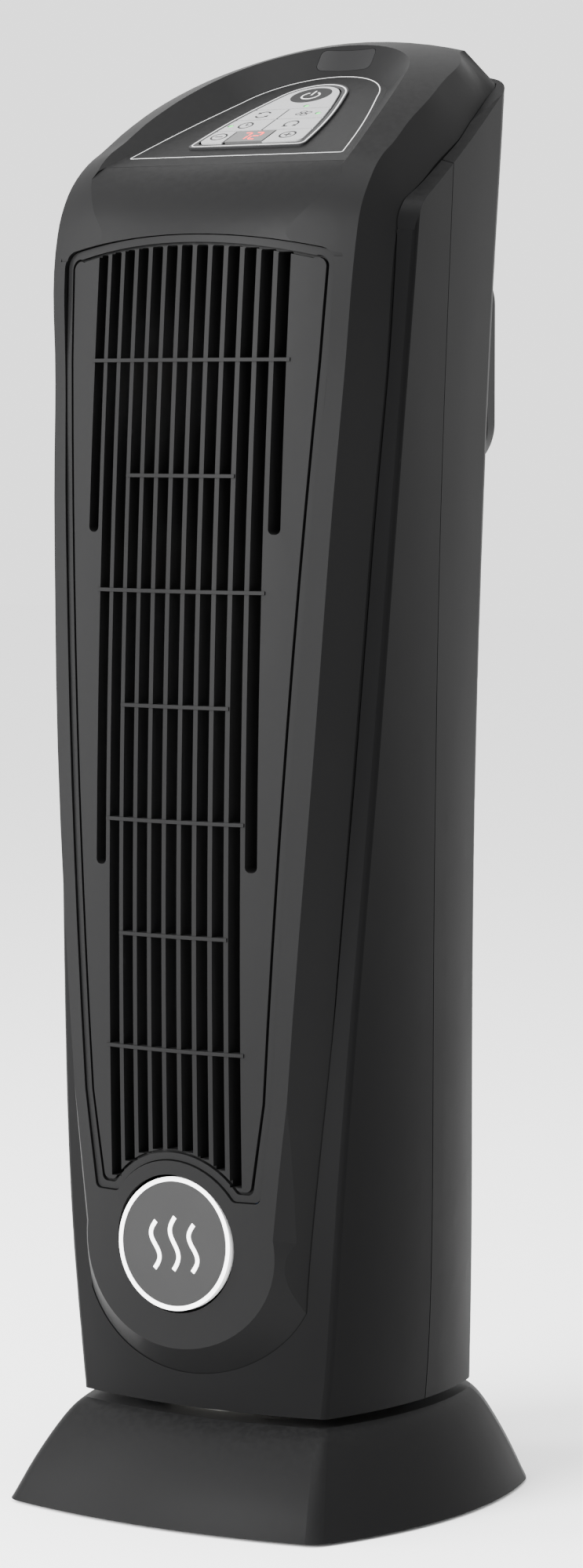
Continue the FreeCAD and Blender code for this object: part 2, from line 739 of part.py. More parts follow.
def receiver_block(grow):
    """A rounded bar square to the skin over the remote control's receiver."""
    body = block(-13.2 - grow, 13.2 + grow, -5.2 - grow, 5.2 + grow, -9.0, 9.0)
    upright = [e for e in body.Edges if abs(e.tangentAt(e.FirstParameter).z) > 0.9]
    place_there = FreeCAD.Placement(Vec(0, 54.6, 577.2), FreeCAD.Rotation(X_AXIS, RECEIVER_TILT))
    return body.makeFillet(2.6, upright).transformGeometry(place_there.toMatrix())


cover = cover.cut(on_panel(panel_holes())).cut(receiver_block(0.0))
shape_part("front_cover", cover)
window = receiver_block(-0.15).common(cover_outside).cut(cover_inside)
shape_part("receiver_window", window)
overlay = shield(17.0, 36.0, -30.8, 27.8, 2.0, 0.0, dim("overlay_thick"))
shape_part("panel_overlay", on_panel(overlay.cut(key_area(KEY_GAP, -1, 5))))


BAND_WIDTH = 2.8
CHANNEL_WIDTH = 1.1
CROSSBAR_HALF = 0.7


def grille():
    """A tapered plate with upright slots, tied by crossbars of different lengths."""
    depth = dim("grille_depth")
    plate = front_slab(1.0, 1.0 + depth).common(grille_outline(0.0))
    channel = grille_outline(-BAND_WIDTH).cut(grille_outline(-BAND_WIDTH - CHANNEL_WIDTH))
    plate = plate.cut(front_slab(-1.0, 3.0).common(channel))
    pitch = dim("grille_pitch")
    half_gap = (pitch - dim("grille_bar")) / 2
    slots = []
    for i in range(-6, 7):
        x = i * pitch
        top = 500.6 - 3.2 * (i / 6.0) ** 2
        if abs(i) == 6:
            low = 388.7
        elif abs(i) == 5:
            low = 258.0
        else:
            reach = 37.5 ** 2 - x ** 2
            low = BADGE_Z + math.sqrt(reach)
        slot = block(x - half_gap, x + half_gap, -110, -45, low, top)
        if abs(i) > 4:
            slot = slot.makeFillet(half_gap * 0.85, edges_along_y(slot, 0.0, low + 1))
        slots.append(slot.makeFillet(0.8, edges_along_y(slot, top - 1, top + 1)))
    plate = plate.cut(Part.Compound(slots))
    bars = []
    for i, openings in enumerate((13, 7, 11, 7, 9, 7, 9)):
        z = dim("crossbar_top") - i * dim("crossbar_pitch")
        half = openings * pitch / 2 + 0.6
        bars.append(block(-half, half, -110, -45, z - CROSSBAR_HALF, z + CROSSBAR_HALF))
    crossbars = front_slab(0.4, 5.0).common(Part.Compound(bars))
    return plate.fuse(crossbars)


shape_part("outlet_grille", grille())

# --- Badge: a plain disc in a ring, set into the front ------------------------------------------


def front_disc(name, outer, inner, low, high):
    """A disc or ring, padded along the badge's own axis and turned to face the front."""
    body = round_body(name, outer, f"({high}) - ({low})", inner)
    sketch = body.Group[0]
    sketch.setExpression("AttachmentOffset.Base.z", low)
    body.Placement = FreeCAD.Placement(
        Vec(0, -71.8, BADGE_Z), FreeCAD.Rotation(X_AXIS, 90 - dim("badge_tilt"))
    )
    return body


front_disc("badge_disc", "Dims.badge_radius - 1.9", None, "-3", "0")
front_disc("badge_ring", "Dims.badge_radius", "Dims.badge_radius - 1.8", "-3", "0.2")

# --- Control panel: keys, lamps, display, board ------------------------------------------------

for name, *sides in KEYS:
    shape_part(name, on_panel(key_shape(*sides)))
shape_part("display_window", on_panel(cell(*DISPLAY, 0.0, 0.0, dim("key_rise"))))
shape_part("display_module", on_panel(cell(*DISPLAY, -1.0, -5.0, -0.1)))
lamps = [Part.makeCylinder(LAMP_RADIUS, 5.9, Vec(x, y, -5.0)) for x, y in LAMPS]
shape_part("indicator_lamps", on_panel(Part.Compound(lamps)))
switches = []
for row in KEYS:
    x, y = row[5:]
    can = block(x - 3, x + 3, y - 3, y + 3, -5.0, -4.4)
    switches.append(can.fuse(Part.makeCylinder(1.7, 0.8, Vec(x, y, -4.4))))
shape_part("key_switches", on_panel(Part.Compound(switches)))

board = slab_body("control_board", "56", "62", "1.6")
board.Placement = PANEL.multiply(FreeCAD.Placement(Vec(0, 0, -6.6), FreeCAD.Rotation()))

# --- Blower behind the upper rear intake -------------------------------------------------------

BLOWER_Z = dim("blower_z")
LOOK_BACK = FreeCAD.Rotation(X_AXIS, -90)


def along_y(body, y, z=BLOWER_Z, x=0.0):
    """Stands a body made along its own Z on the Y axis direction."""
    body.Placement = FreeCAD.Placement(Vec(x, y, z), LOOK_BACK)
    return body


wheel = new_body("blower_wheel")
disc = new_sketch(wheel, "WheelDisc")
add_circle(disc, "disc", "Dims.wheel_radius")
add_circle(disc, "bore", "Dims.shaft_radius + 0.02")
pad(wheel, disc, "1.6")
boss = new_sketch(wheel, "WheelBoss")
add_circle(boss, "boss", "7")
add_circle(boss, "boss_bore", "Dims.shaft_radius + 0.02")
pad(wheel, boss, "14")
blade = new_sketch(wheel, "WheelBlade")
radius = dim("wheel_radius")
blade_points = [(radius - 10, -3.2), (radius - 9.4, -4.2)]
blade_points += [(radius - 0.6, 0.4), (radius - 1.0, 1.6)]
add_polygon(blade, blade_points)
blade_pad = pad(wheel, blade, "Dims.wheel_width")
polar_pattern(wheel, blade_pad, 30, "WheelBlades")
rim = new_sketch(wheel, "WheelRim", "Dims.wheel_width - 2")
add_circle(rim, "rim", "Dims.wheel_radius")
add_circle(rim, "rim_bore", "Dims.wheel_radius - 10")
pad(wheel, rim, "2")
along_y(wheel, dim("wheel_low_y"))

shaft = round_body("motor_shaft", "Dims.shaft_radius", "58")
along_y(shaft, dim("wheel_low_y") - 43.0)

motor = round_body("blower_motor", "Dims.motor_radius", "Dims.motor_length", "Dims.shaft_radius + 0.5")
along_y(motor, -14.0)
for name, y in (("front_bearing", -17.0), ("rear_bearing", 20.0)):
    along_y(round_body(name, "6", "3", "Dims.shaft_radius + 0.05"), y)


def scroll():
    """A snail housing: round drum, outlet downwards, open front bearing hole and rear inlet."""
    y0 = dim("scroll_low_y")
    y1 = y0 + dim("scroll_depth")
    r = dim("scroll_radius")
    wall = 2.0
    start = Vec(0, y0, BLOWER_Z)
    outside = Part.makeCylinder(r, y1 - y0, start, Vec(0, 1, 0))
    outside = outside.fuse(block(-r, 4, y0, y1, 384, BLOWER_Z))
    inside = Part.makeCylinder(r - wall, y1 - y0 - 2 * wall, start + Vec(0, wall, 0), Vec(0, 1, 0))
    inside = inside.fuse(block(-r + wall, 4 - wall, y0 + wall, y1 - wall, 380, BLOWER_Z))
    inlet = Part.makeCylinder(36.0, 20, Vec(0, y1 - 10, BLOWER_Z), Vec(0, 1, 0))
    hole = Part.makeCylinder(10.0, 20, Vec(0, y0 - 10, BLOWER_Z), Vec(0, 1, 0))
    return outside.cut(inside).cut(inlet).cut(hole)


shape_part("blower_scroll", scroll())

# --- Air duct, heater and frame ----------------------------------------------------------------

duct_low, duct_high = 166.0, 384.0
duct = block(-44, 44, -24, 46, duct_low, duct_high)
duct = duct.cut(block(-42, 42, -30, 44, duct_low + 2, duct_high - 2))
duct = duct.cut(block(-42, 2, 26, 44, duct_high - 10, duct_high + 5))
shape_part("air_duct", duct)

heater_y = dim("heater_y")
heater_low, heater_high = dim("heater_low"), dim("heater_high")
half = dim("heater_half_width")
core = block(-half, half, heater_y, heater_y + dim("heater_depth"), heater_low, heater_high)
frame = block(-46, 46, heater_y + 1, -24.0, duct_low, duct_high)
frame = frame.cut(block(-half - 0.2, half + 0.2, -60, 0, heater_low - 0.2, heater_high + 0.2))
shape_part("heater_frame", frame)
fins = []
fin_pitch = 2.6
count = int((heater_high - heater_low - 4) / fin_pitch)
for column in (-1, 1):
    left = column * 14.5 - 11.5
    for i in range(count):
        z = heater_low + 3 + i * fin_pitch
        fins.append(block(left, left + 23, heater_y - 1, heater_y + 30, z, z + 1.6))
shape_part("heater_core", core.cut(Part.Compound(fins)))
cutoff = slab_body("thermal_cutoff", "18", "9", "6")
cutoff.Placement = FreeCAD.Placement(Vec(0, -35.0, duct_high), FreeCAD.Rotation())

# --- Rear intake ------------------------------------------------------------------------------


LOUVRES = 12
LOUVRE_PITCH = 6.2


def intake_dome():
    """A lens-shaped, louvred cover over the upper rear intake."""
    # depth, side inset, bottom inset, top inset, corner radius
    rows = (
        (70.0, 0.0, 0.0, 0.0, 20.0),
        (79.0, 2.0, 2.0, 4.0, 20.0),
        (84.0, 6.0, 6.0, 10.0, 20.0),
        (87.0, 11.0, 12.0, 18.0, 20.0),
        (88.6, 18.0, 21.0, 28.0, 20.0),
    )
    layers = []
    for y, side, bottom, top, radius in rows:
        low, high = INTAKE_LOW + bottom, INTAKE_HIGH - top
        face = rounded_panel(INTAKE_HALF - side, low, high, radius, y, y + 1)
        lowest = min(face.Faces, key=lambda f: f.CenterOfMass.y)
        layers.append(lowest.OuterWire)
    outer = Part.makeLoft(layers, True, True)
    inner = outer.copy().scale(0.955, Vec(0, 68.0, (INTAKE_LOW + INTAKE_HIGH) / 2))
    rim = rounded_panel(INTAKE_HALF - 5, INTAKE_LOW + 5, INTAKE_HIGH - 5, 16, 60, 71)
    dome = outer.cut(inner.fuse(rim))
    slots = []
    for i in range(LOUVRES):
        z = INTAKE_LOW + 14 + i * LOUVRE_PITCH
        for x0, x1 in ((-44, -1.5), (1.5, 44)):
            slots.append(block(x0, x1, 75, 95, z - 1.6, z + 1.6))
    return dome.cut(Part.Compound(slots)).cut(housing_form())


shape_part("intake_grille", intake_dome())
filter_pad = rounded_panel(47.5, INTAKE_LOW + 9.5, INTAKE_HIGH - 9.5, 8, 66.0, 68.5)
shape_part("intake_filter", filter_pad)

# --- Power board and cord gland ----------------------------------------------------------------

power_board = slab_body("power_board", "76", "1.6", "70")
power_board.Placement = FreeCAD.Placement(Vec(0, 48, 84), FreeCAD.Rotation())
relays = [block(-30 + 22 * i, -14 + 22 * i, 30, 47.2, 96, 116) for i in range(3)]
shape_part("relays", Part.Compound(relays))

gland = new_body("cord_gland")
flange = new_sketch(gland, "GlandFlange")
add_circle(flange, "flange", "8.5")
add_circle(flange, "flange_bore", "3.6")
pad(gland, flange, "2.5")
neck = new_sketch(gland, "GlandNeck")
add_circle(neck, "neck", "5.95")
add_circle(neck, "neck_bore", "3.6")
neck_pad = pad(gland, neck, "9")
neck_pad.Reversed = True

# --- Turntable: hub, retainer, washer, post, gear and pinion ------------------------------------

hub = new_body("swing_hub")
tube = new_sketch(hub, "HubTube", "34")
add_circle(tube, "tube", "Dims.hub_radius")
add_circle(tube, "tube_bore", "Dims.hub_bore_radius")
pad(hub, tube, "9")
place(hub, y="Dims.pivot_y")

retainer = round_body("hub_retainer", "Dims.retainer_radius", "2.4", "Dims.hub_bore_radius")
place(retainer, y="Dims.pivot_y", z="31.6")

washer = round_body("slide_washer", "Dims.washer_outer", "Dims.washer_thick", "Dims.washer_inner")
place(washer, y="Dims.pivot_y", z="Dims.base_top")

post = new_body("gear_post")
column = new_sketch(post, "PostColumn", "Dims.base_plate_low + Dims.base_plate_thick")
add_circle(column, "column", "Dims.post_radius")
pad(post, column, "Dims.gear_low - Dims.base_plate_low - Dims.base_plate_thick")
place(post, y="Dims.pivot_y")

MODULE = dim("gear_module")


def gear_outline(teeth, first, last, thickness, whole_radius):
    """Straight-flanked teeth on a disc; teeth first to last only, the rest a plain rim."""
    pitch_radius = MODULE * teeth / 2
    root = pitch_radius - 1.15 * MODULE
    tip = pitch_radius + 0.8 * MODULE
    step = 2 * math.pi / teeth
    points = []
    for i in range(teeth):
        middle = i * step
        if not first <= i <= last:
            points.append((whole_radius, middle))
            continue
        for radius, width in ((root, 0.56), (tip, 0.2), (tip, -0.2), (root, -0.56)):
            share = width * thickness
            points.append((radius, middle - share * step))
    return [(r * math.cos(a), r * math.sin(a)) for r, a in points]


SECTOR_HALF = 8
gear = new_body("sector_gear")
gear_sketch = new_sketch(gear, "GearOutline", "Dims.gear_low")
teeth = int(dim("gear_teeth"))
outline = gear_outline(teeth, 0, 2 * SECTOR_HALF, 0.68, 16.5)
add_polygon(gear_sketch, outline)
pad(gear, gear_sketch, "Dims.gear_thick")
gear.Placement = FreeCAD.Placement(
    Vec(0, PIVOT_Y, 0), FreeCAD.Rotation(Z_AXIS, -90 - SECTOR_HALF * 360 / teeth)
)

pinion_teeth = int(dim("pinion_teeth"))
centre_distance = MODULE * (teeth + pinion_teeth) / 2
pinion_y = PIVOT_Y - centre_distance
pinion = new_body("swing_pinion")
pinion_sketch = new_sketch(pinion, "PinionOutline", "Dims.gear_low")
add_polygon(pinion_sketch, gear_outline(pinion_teeth, 0, pinion_teeth, 0.64, 6.0))
pad(pinion, pinion_sketch, "Dims.gear_thick")
pinion_shaft = new_sketch(pinion, "PinionShaft", "Dims.gear_low")
add_circle(pinion_shaft, "shaft", "1.9")
pad(pinion, pinion_shaft, "Dims.gear_thick + 3")
half_tooth = 180.0 / pinion_teeth
pinion.Placement = FreeCAD.Placement(
    Vec(0, pinion_y, 0), FreeCAD.Rotation(Z_AXIS, 90 + half_tooth)
)

swing_motor = round_body("swing_motor", "21", "16")
swing_motor.Placement = FreeCAD.Placement(Vec(0, pinion_y, 60.5), FreeCAD.Rotation())
bracket = block(-30, 30, pinion_y - 8, pinion_y + 8, 58.5, 60.5)
bracket = bracket.cut(Part.makeCylinder(3.0, 10, Vec(0, pinion_y, 55)))
for side in (-1, 1):
    leg = block(-3, 3, pinion_y - 8, pinion_y + 8, dim("body_bottom") + WALL, 58.5)
    bracket = bracket.fuse(leg.translated(Vec(side * 27, 0, 0)))
shape_part("motor_bracket", bracket)

# --- Base --------------------------------------------------------------------------------------

BASE_LOW_PLAN = ((72.8, -82.7), (72.0, 84.0), (9.2, 20.2, 7.95), (4.0, 24.0))
BASE_TOP_PLAN = ((57.4, -52.6), (58.4, 61.0), (8.0, 10.8, 8.5), (2.5, 13.0))


def base_form(inset=0.0, low=None, high=None):
    """The flared skirt: plans between the top rim and the foot rim, bulging outwards."""
    low = dim("base_bottom") if low is None else low
    high = dim("base_top") if high is None else high
    wires = []
    for share in (0.0, 0.18, 0.36, 0.55, 0.75, 1.0):
        front, rear, bows, radii = [
            [a + (b - a) * share for a, b in zip(top, bottom)]
            for top, bottom in zip(BASE_TOP_PLAN, BASE_LOW_PLAN)
        ]
        z = high - (high - low) * share ** 1.35
        wires.append(wire_of(plan_arcs(front, rear, bows, radii, z, inset)))
    return Part.makeLoft(wires, True, False)


base_wall = dim("base_wall")
base = base_form()
base = base.cut(base_form(base_wall, 1.0, dim("base_top") - base_wall))
base = base.cut(Part.makeCylinder(dim("hub_hole_radius"), 20, Vec(0, PIVOT_Y, 30)))
bosses, screws = [], []
for sx in (-1, 1):
    for sy in (-1, 1):
        spot = Vec(sx * dim("boss_x"), sy * dim("boss_y") + 3.0, 0)
        tall = dim("base_top") - base_wall - 5.0 + 0.5
        boss = Part.makeCylinder(dim("boss_radius"), tall, spot + Vec(0, 0, 5.0))
        bosses.append(boss.common(base_form(1.0)))
        screw = Part.makeCylinder(dim("screw_radius"), 14.0, spot + Vec(0, 0, 2.0))
        screws.append(screw.fuse(Part.makeCylinder(3.4, 1.2, spot + Vec(0, 0, 0.9))))
base = base.fuse(bosses).cut(Part.Compound([s.copy() for s in screws]))
shape_part("base_cover", base)
shape_part("base_screws", Part.Compound(screws))

PLATE_PLAN = ((66.0, -76.0), (65.0, 77.0), (8.5, 17.5, 7.0), (8.0, 22.0))
plate_plan = plan_arcs(*PLATE_PLAN, dim("base_plate_low"))
plate = Part.Face(wire_of(plate_plan)).extrude(Vec(0, 0, dim("base_plate_thick")))
plate = plate.cut(Part.Compound([s.copy() for s in screws]))
shape_part("base_plate", plate)

feet = []
for sx in (-1, 1):
    for sy in (-1, 1):
        foot = Part.makeCone(dim("foot_radius"), dim("foot_radius") + 0.6, dim("foot_height"))
        feet.append(foot.translated(Vec(sx * dim("foot_x"), sy * dim("foot_y"), 0)))
shape_part("rubber_feet", Part.Compound(feet))

# --- Housing screws ----------------------------------------------------------------------------

housing_screws = screw_posts(1.9, SCREW_SEAT_Y + 7.0, -7.0)
heads = screw_posts(3.6, 2.6, SCREW_SEAT_Y)
pairs = zip(housing_screws.Solids, heads.Solids)
shape_part("housing_screws", Part.Compound([a.fuse(b) for a, b in pairs]))

gland.Placement = FreeCAD.Placement(Vec(0, 69.5, 62), LOOK_BACK)

# --- Checks and export -------------------------------------------------------------------------

doc.recompute()
for obj in doc.Objects:
    if "Invalid" in obj.State or "Error" in obj.State:
        raise RuntimeError("failed object: " + obj.Name)
os.makedirs("parts", exist_ok=True)
for node in nodes:
    shape = node.Shape
    if shape.isNull() or not shape.isValid() or not shape.Solids:
        raise RuntimeError("bad shape: " + node.Label)
    shape.exportStep("parts/" + node.Label + ".step")
    print(node.Label, len(shape.Solids), round(shape.Volume))
print(len(nodes), "sub-parts")
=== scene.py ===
# %% [markdown]
# # An oscillating tower heater
#
# This notebook dresses a finished CAD model of a tower heater. They are never moved or
# reshaped: each gets a finish, and small printed or moulded details are modelled around them.

# %% Load the model
import json
import math

import bpy
from mathutils import Matrix, Vector


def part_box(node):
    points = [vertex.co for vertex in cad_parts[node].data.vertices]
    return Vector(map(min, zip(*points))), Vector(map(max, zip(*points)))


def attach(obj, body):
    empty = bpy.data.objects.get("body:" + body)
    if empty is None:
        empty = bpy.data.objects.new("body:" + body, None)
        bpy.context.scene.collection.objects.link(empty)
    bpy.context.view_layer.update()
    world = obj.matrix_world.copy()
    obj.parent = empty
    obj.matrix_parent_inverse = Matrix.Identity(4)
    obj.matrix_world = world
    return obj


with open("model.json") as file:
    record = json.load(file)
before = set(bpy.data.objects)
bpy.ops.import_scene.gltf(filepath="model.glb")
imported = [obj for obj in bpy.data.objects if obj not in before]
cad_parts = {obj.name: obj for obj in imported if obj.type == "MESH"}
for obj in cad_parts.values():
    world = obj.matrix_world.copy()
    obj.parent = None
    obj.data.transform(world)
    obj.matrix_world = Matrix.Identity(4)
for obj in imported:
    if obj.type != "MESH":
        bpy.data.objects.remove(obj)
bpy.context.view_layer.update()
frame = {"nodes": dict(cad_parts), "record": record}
MM = 0.001

# %% [markdown]
# ## Camera
#
# The heater is looked at from a little above its middle and about 33 degrees round to its right.
# A long lens from two metres away keeps the upright lines nearly parallel. The camera's place is
# worked out from a point near the heater's axis.

# %% Camera
VIEW_TURN = math.radians(33.335)
VIEW_DOWN = math.radians(4.471)
CAMERA_DISTANCE = 1.9408
CAMERA_HEIGHT = 0.4378
AIM = Vector((0.0025, 0.0082, 0.0))
LENS = 110.74
FAR_CLIP = 20.0

camera_data = bpy.data.cameras.new("camera")
camera = bpy.data.objects.new("camera", camera_data)
bpy.context.collection.objects.link(camera)
camera_data.lens = LENS
camera_data.clip_end = FAR_CLIP
back = Vector((math.sin(VIEW_TURN), -math.cos(VIEW_TURN), 0.0))
camera.location = AIM + back * CAMERA_DISTANCE + Vector((0, 0, CAMERA_HEIGHT))
camera.rotation_euler = (math.pi / 2 - VIEW_DOWN, 0.0, VIEW_TURN)
bpy.context.scene.camera = camera
print("camera at", [round(v, 3) for v in camera.location])

# %% [markdown]
# ## Floor
#
# The studio is one very large pale floor under an even white sky, so there is no corner or
# horizon line to draw the eye away from the heater.

# %% Floor
FLOOR_SIZE = 14.0
FLOOR_COLOUR = (0.97, 0.97, 0.97, 1.0)
WHITE = (1.0, 1.0, 1.0, 1.0)
SKY_STRENGTH = 2.0

floor_paint = bpy.data.materials.new("studio_floor")
floor_paint.use_nodes = True
floor_shader = floor_paint.node_tree.nodes["Principled BSDF"]
floor_shader.inputs["Base Color"].default_value = FLOOR_COLOUR
floor_shader.inputs["Roughness"].default_value = 0.9

bpy.ops.object.select_all(action="DESELECT")
bpy.ops.mesh.primitive_plane_add(size=FLOOR_SIZE, location=(0, 0, 0))
floor = bpy.context.object
floor.name = "floor"
floor.data.materials.append(floor_paint)

world = bpy.data.worlds.new("studio")
bpy.context.scene.world = world
world.use_nodes = True
sky = world.node_tree.nodes["Background"]
sky.inputs["Color"].default_value = WHITE
sky.inputs["Strength"].default_value = SKY_STRENGTH
print("floor", FLOOR_SIZE, "m wide")

# %% [markdown]
# ## Lights
#
# Black plastic is shaped by what it reflects. A large soft panel in front makes the front skin
# the brightest face, a narrow strip on the left draws the long edges, and one panel overhead
# lights the sloping control panel. The side is left to fall into shade.

# %% Lights


def soft_panel(name, place, target, width, height, watts):
    """A rectangular light at a place, turned to face a target."""
    data = bpy.data.lights.new(name, "AREA")
    data.shape = "RECTANGLE"
    data.size = width
    data.size_y = height
    data.energy = watts
    lamp = bpy.data.objects.new(name, data)
    bpy.context.collection.objects.link(lamp)
    lamp.location = place
    aim = Vector(target) - Vector(place)
    lamp.rotation_euler = aim.to_track_quat("-Z", "Y").to_euler()


soft_panel("front_panel", (-0.6, -2.0, 1.0), (0, 0, 0.3), 1.2, 1.6, 240)
soft_panel("left_strip", (-1.6, -0.9, 0.8), (0, 0, 0.3), 0.4, 1.6, 40)
soft_panel("top_panel", (0.1, -0.3, 1.9), (0, 0, 0.5), 1.0, 1.0, 30)
print("three soft lights")

# %% [markdown]
# ## Shader maths as Python
#
# A material's pattern is a sum: a little noise, times a mask, plus a base value. Wrapping a node
# socket in a small class lets us write that sum as plain Python. Each operator adds the Math node
# it stands for, and the method `node` makes any other kind of node.

# %% Value class


class Value:
    """A socket in a node tree, with arithmetic."""

    def __init__(self, tree, socket):
        self.tree = tree
        self.socket = socket

    def node(self, kind, settings=None, inputs=None, output=0):
        """Any node: its settings first, then the values or links of its sockets."""
        new = self.tree.nodes.new(kind)
        for key, value in (settings or {}).items():
            setattr(new, key, value)
        for key, value in (inputs or {}).items():
            if isinstance(value, Value):
                self.tree.links.new(value.socket, new.inputs[key])
            else:
                new.inputs[key].default_value = value
        return Value(self.tree, new.outputs[output])

    def maths(self, operation, first, second):
        return self.node("ShaderNodeMath", {"operation": operation}, {0: first, 1: second})

    def __add__(self, other):
        return self.maths("ADD", self, other)

    def __rsub__(self, other):
        return self.maths("SUBTRACT", other, self)

    def __mul__(self, other):
        return self.maths("MULTIPLY", self, other)

    __radd__ = __add__

    def above(self, limit, softness=0.05):
        """0 below the limit and 1 above it, with a soft step between."""
        settings = {"interpolation_type": "SMOOTHSTEP"}
        inputs = {"Value": self, "From Min": limit - softness, "From Max": limit + softness}
        return self.node("ShaderNodeMapRange", settings, inputs)

    def noise(self, scale, detail=3.0, roughness=0.5):
        inputs = {"Vector": self, "Scale": scale, "Detail": detail, "Roughness": roughness}
        return self.node("ShaderNodeTexNoise", None, inputs)

    def mix(self, low, high):
        """A colour between two colours, by this value."""
        settings = {"data_type": "RGBA"}
        return self.node("ShaderNodeMix", settings, {0: self, 6: low, 7: high}, output=2)

    def bump(self, distance, strength=1.0):
        inputs = {"Height": self, "Distance": distance, "Strength": strength}
        return self.node("ShaderNodeBump", None, inputs)


print("Value ready")

# %% [markdown]
# ## One way in for every finish
#
# Each finish starts the same way: a Principled shader, its constant settings, and the object's own
# coordinates, which here are metres. The finish then links only what changes over the surface.

# %% Starting a finish


def grey(level):
    return (level, level, level, 1.0)


def scaled(colour, factor):
    """A colour made darker or lighter, never brighter than white."""
    return tuple(min(1.0, c * factor) for c in colour) + (1.0,)


def start_finish(name, **constants):
    """A new material; returns it, its shader and the object coordinates."""
    material = bpy.data.materials.new(name)
    material.use_nodes = True
    tree = material.node_tree
    shader = tree.nodes["Principled BSDF"]
    for key, value in constants.items():
        shader.inputs[key.replace("_", " ")].default_value = value
    coordinates = tree.nodes.new("ShaderNodeTexCoord")
    return material, shader, Value(tree, coordinates.outputs["Object"])


def feed(shader, **values):
    """Links varying values to the shader's sockets."""
    for key, value in values.items():
        value.tree.links.new(value.socket, shader.inputs[key.replace("_", " ")])


# %% [markdown]
# ## Moulded plastic
#
# The casing is black plastic from a mould whose surface was spark-eroded, which leaves a fine
# grain about a third of a millimetre across. Three things vary: the grain, as bump; a slow
# cloudiness in the gloss, where the melt cooled at different speeds; and a little pale dust that
# settles on surfaces that face upwards. The same recipe at other values makes every moulded part.

# %% Moulded plastic


def moulded(name, colour, roughness, grain=0.00002, dust=0.004, cell=2600.0):
    material, shader, place = start_finish(name, Specular_IOR_Level=0.035)
    cloud = place.noise(14.0, 2.0)
    grain_height = place.noise(cell, 2.0, 0.6)
    fleck = place.noise(420.0, 3.0, 0.65)
    base = (cloud * 0.6 + fleck * 0.4).mix(scaled(colour, 0.86), scaled(colour, 1.16))
    up = place.node("ShaderNodeNewGeometry", output=1)
    height = up.node("ShaderNodeSeparateXYZ", None, {0: up}, output=2)
    settled = height.above(0.75, 0.25) * fleck.above(0.5, 0.12) * dust
    feed(
        shader,
        Base_Color=settled.mix(base, grey(0.45)),
        Roughness=cloud * 0.06 + grain_height * 0.05 + settled + (roughness - 0.05),
        Normal=grain_height.bump(grain, 0.7),
    )
    return material


HOUSING = moulded("housing_black", (0.0022, 0.0022, 0.0023), 0.44)
FASCIA = moulded("fascia_black", (0.0055, 0.0055, 0.0056), 0.41)
GRILLE = moulded("grille_black", (0.0055, 0.0055, 0.0056), 0.43, grain=0.000015)
BASE = moulded("base_black", (0.0045, 0.0045, 0.0046), 0.40)
INNER = moulded("inner_black", (0.003, 0.003, 0.003), 0.6, dust=0.0)
NYLON = moulded("nylon", (0.62, 0.61, 0.57), 0.42, grain=0.00001, dust=0.0, cell=900.0)
RELAY = moulded("relay_case", (0.02, 0.06, 0.16), 0.35, dust=0.0)
print("moulded plastics made")

# %% [markdown]
# ## Films, windows and paint
#
# The panel is covered with printed polyester film. Film is smoother than the casing, with the
# slight waviness of a sheet that was stuck down by hand. The silver of the keys has metal flake in
# the ink: small cells of slightly different brightness. The badge is glossy black under clear
# lacquer, and its ring is thick white paint.

# %% Film and paint


def film(name, colour, roughness, flake, coat=0.0):
    material, shader, place = start_finish(
        name, Specular_IOR_Level=0.15, Coat_Weight=coat, Coat_Roughness=0.2,
        Coat_IOR=1.2
    )
    wave = place.noise(60.0, 1.0)
    cells = place.node("ShaderNodeTexVoronoi", None, {"Vector": place, "Scale": 3800.0}, output=1)
    speck = cells.node("ShaderNodeSeparateColor", None, {0: cells})
    pattern = speck * 0.7 + wave * 0.3
    feed(
        shader,
        Base_Color=pattern.mix(scaled(colour, 1 - flake), scaled(colour, 1 + flake)),
        Roughness=wave * 0.08 + speck * 0.04 + roughness,
        Normal=wave.bump(0.00004, 0.5),
    )
    return material


OVERLAY = film("overlay_film", (0.010, 0.010, 0.0105), 0.38, flake=0.10, coat=0.15)
SILVER = film("key_silver", (0.21, 0.21, 0.213), 0.40, flake=0.09)
INK_WHITE = film("ink_white", (0.42, 0.42, 0.42), 0.45, flake=0.04)
INK_DARK = film("ink_dark", (0.004, 0.004, 0.0042), 0.42, flake=0.08)
DISPLAY = film("display_grey", (0.055, 0.055, 0.055), 0.25, flake=0.05, coat=0.4)
SMOKED = film("smoked_window", (0.004, 0.004, 0.0042), 0.30, flake=0.1)
BADGE = film("badge_black", (0.0035, 0.0035, 0.0036), 0.30, flake=0.12, coat=0.35)
BADGE_WHITE = film("badge_white", (0.90, 0.90, 0.90), 0.35, flake=0.02, coat=0.2)
RUBBER = moulded("rubber", (0.005, 0.005, 0.005), 0.75, grain=0.00005, dust=0.01, cell=1200.0)
print("films and paints made")

# %% [markdown]
# ## Things that glow
#
# The digits and the lamps light up from inside, behind a diffuser. Its fine cloudy pattern is
# carried by the emission colour itself.

# %% Glowing finishes


def glowing(name, colour, strength):
    material, shader, place = start_finish(name, Roughness=0.3, Emission_Strength=strength)
    spread = place.noise(1500.0, 2.0)
    lit = spread.mix(scaled(colour, 0.75), scaled(colour, 1.0))
    feed(shader, Base_Color=lit, Emission_Color=lit, Normal=spread.bump(0.00002, 0.4))
    return material


LAMP = glowing("lamp_green", (0.005, 0.55, 0.06), 1.6)
DIGIT = glowing("digit_red", (0.90, 0.02, 0.015), 1.8)
print("glowing finishes made")

# %% [markdown]
# ## Metal, board, foam and mica
#
# These are inside, seen through the grille or the intake, or under the base. Turned metal shows
# fine rings, so its bump is noise squeezed along Z. A circuit board is green lacquer over
# raised copper tracks, foam is open cells, and the heater's frame is pressed mica flakes.

# %% Inner finishes


